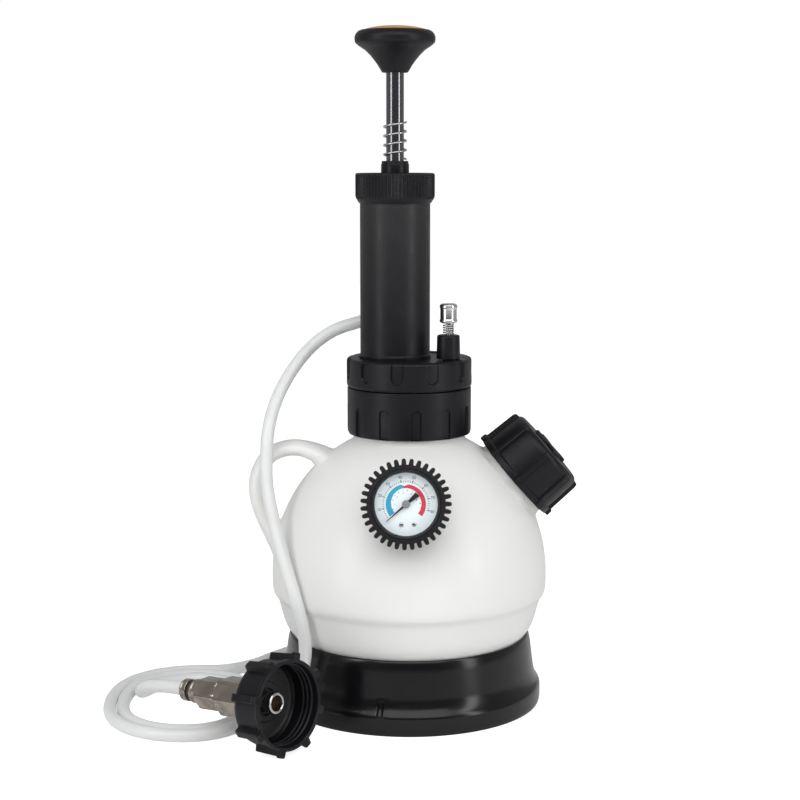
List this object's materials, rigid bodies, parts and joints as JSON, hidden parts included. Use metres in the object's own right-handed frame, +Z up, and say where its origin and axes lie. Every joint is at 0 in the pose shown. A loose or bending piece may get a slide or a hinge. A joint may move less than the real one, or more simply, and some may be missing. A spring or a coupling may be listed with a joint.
{
  "type": "hand pump with tank",
  "caption": "Hand-operated pump on a translucent tank, with plunger, pressure gauge, relief valve, filler cap, hose and screw-cap adapter.",
  "frame": {"origin": "centre of the flat underside of the base, where the pump stands", "axes": "+Z up along the tank's axis; the filler cap points to +X, the carrying handle to -X and the gauge to -Y; the free hose lies on the floor to the left (-X) and behind (+Y)"},
  "size_m": [0.3267, 0.3332, 0.4639],
  "materials": {
    "tank_white": "satin, translucent",
    "base_black": "satin gloss",
    "black_plastic": "satin",
    "boot_rubber": "matte",
    "seal_rubber": "matte",
    "knob_orange": "satin",
    "rod_steel": "polished, dark",
    "spring_steel": "bright",
    "chrome": "mirror",
    "nickel": "satin nickel",
    "brass": "satin",
    "dial_white": "matte",
    "lens_clear": "clear",
    "white_plastic": "satin",
    "hose_white": "satin, translucent"
  },
  "bodies": {
    "tank_unit": {"tank": "tank_white", "base": "base_black", "collar_nut": "black_plastic", "head_cap": "black_plastic", "pump_cylinder": "black_plastic", "cylinder_cap": "black_plastic", "rod_guide": "black_plastic", "foot_valve_cage": "black_plastic", "relief_valve_body": "black_plastic", "hose_elbow": "black_plastic", "dip_strainer": "black_plastic", "adapter_cap": "black_plastic", "gauge_case": "black_plastic", "gauge_bezel": "black_plastic", "gauge_boot": "boot_rubber", "neck_gasket": "seal_rubber", "guide_seal": "seal_rubber", "adapter_gasket": "seal_rubber", "coupler_seal": "seal_rubber", "cushion_spring": "spring_steel", "relief_spring": "spring_steel", "dial_screw_left": "spring_steel", "dial_screw_right": "spring_steel", "adapter_nipple": "nickel", "coupler_nipple": "nickel", "coupler_union": "nickel", "coupler_shank": "nickel", "coupler_collar": "nickel", "bourdon_tube": "brass", "gauge_stem": "brass", "gauge_nut": "brass", "coupler_washer": "brass", "gauge_dial": "dial_white", "gauge_lens": "lens_clear", "dip_tube": "white_plastic", "hose_run": "hose_white", "hose_coil": "hose_white", "hose_tail": "hose_white"},
    "piston_seal": {"piston_cup": "seal_rubber"},
    "plunger": {"piston_rod": "rod_steel", "piston": "black_plastic", "piston_nut": "rod_steel", "knob": "black_plastic", "knob_insert": "knob_orange"},
    "relief_button": {"relief_stem": "spring_steel", "relief_button": "chrome", "relief_seal": "seal_rubber"},
    "filler_gasket": {"filler_gasket": "seal_rubber"},
    "filler_cap": {"filler_cap": "black_plastic"},
    "gauge_needle": {"gauge_needle": "black_plastic", "gauge_arbor": "brass"},
    "foot_valve_disc": {"foot_valve_disc": "seal_rubber"}
  },
  "joints": [
    {"name": "pump_stroke", "type": "slide", "parent": "tank_unit", "child": "piston_seal", "axis": [0, 0, 1], "range_m": [-0.05, 0], "deforming": ["cushion_spring"]},
    {"name": "plunger_turn", "type": "hinge", "parent": "piston_seal", "child": "plunger", "pos_m": [-0.0097, 0, 0.4], "axis": [0, 0, 1], "continuous": true},
    {"name": "relief_press", "type": "slide", "parent": "tank_unit", "child": "relief_button", "axis": [0, 0, 1], "range_m": [-0.0025, 0], "stiffness_N_per_m": 400, "deforming": ["relief_spring"]},
    {"name": "filler_cap_lift", "type": "slide", "parent": "tank_unit", "child": "filler_gasket", "axis": [0.7553, 0, 0.6553], "range_m": [0, 0.0061]},
    {"name": "filler_cap_turn", "type": "hinge", "parent": "filler_gasket", "child": "filler_cap", "pos_m": [0.0725, 0, 0.1568], "axis": [0.7553, 0, 0.6553], "range_deg": [0, 540]},
    {"name": "needle_turn", "type": "hinge", "parent": "tank_unit", "child": "gauge_needle", "pos_m": [-0.0025, -0.108, 0.159], "axis": [0, -0.9816, 0.1908], "range_deg": [-262, 0], "stiffness_Nm_per_rad": 0.002},
    {"name": "foot_valve_lift", "type": "slide", "parent": "tank_unit", "child": "foot_valve_disc", "axis": [0, 0, -1], "range_m": [0, 0.0015], "stiffness_N_per_m": 100}
  ],
  "couplings": [
    {"joint": "filler_cap_lift", "follows": "filler_cap_turn", "m_per_rad": 0.00063662}
  ]
}
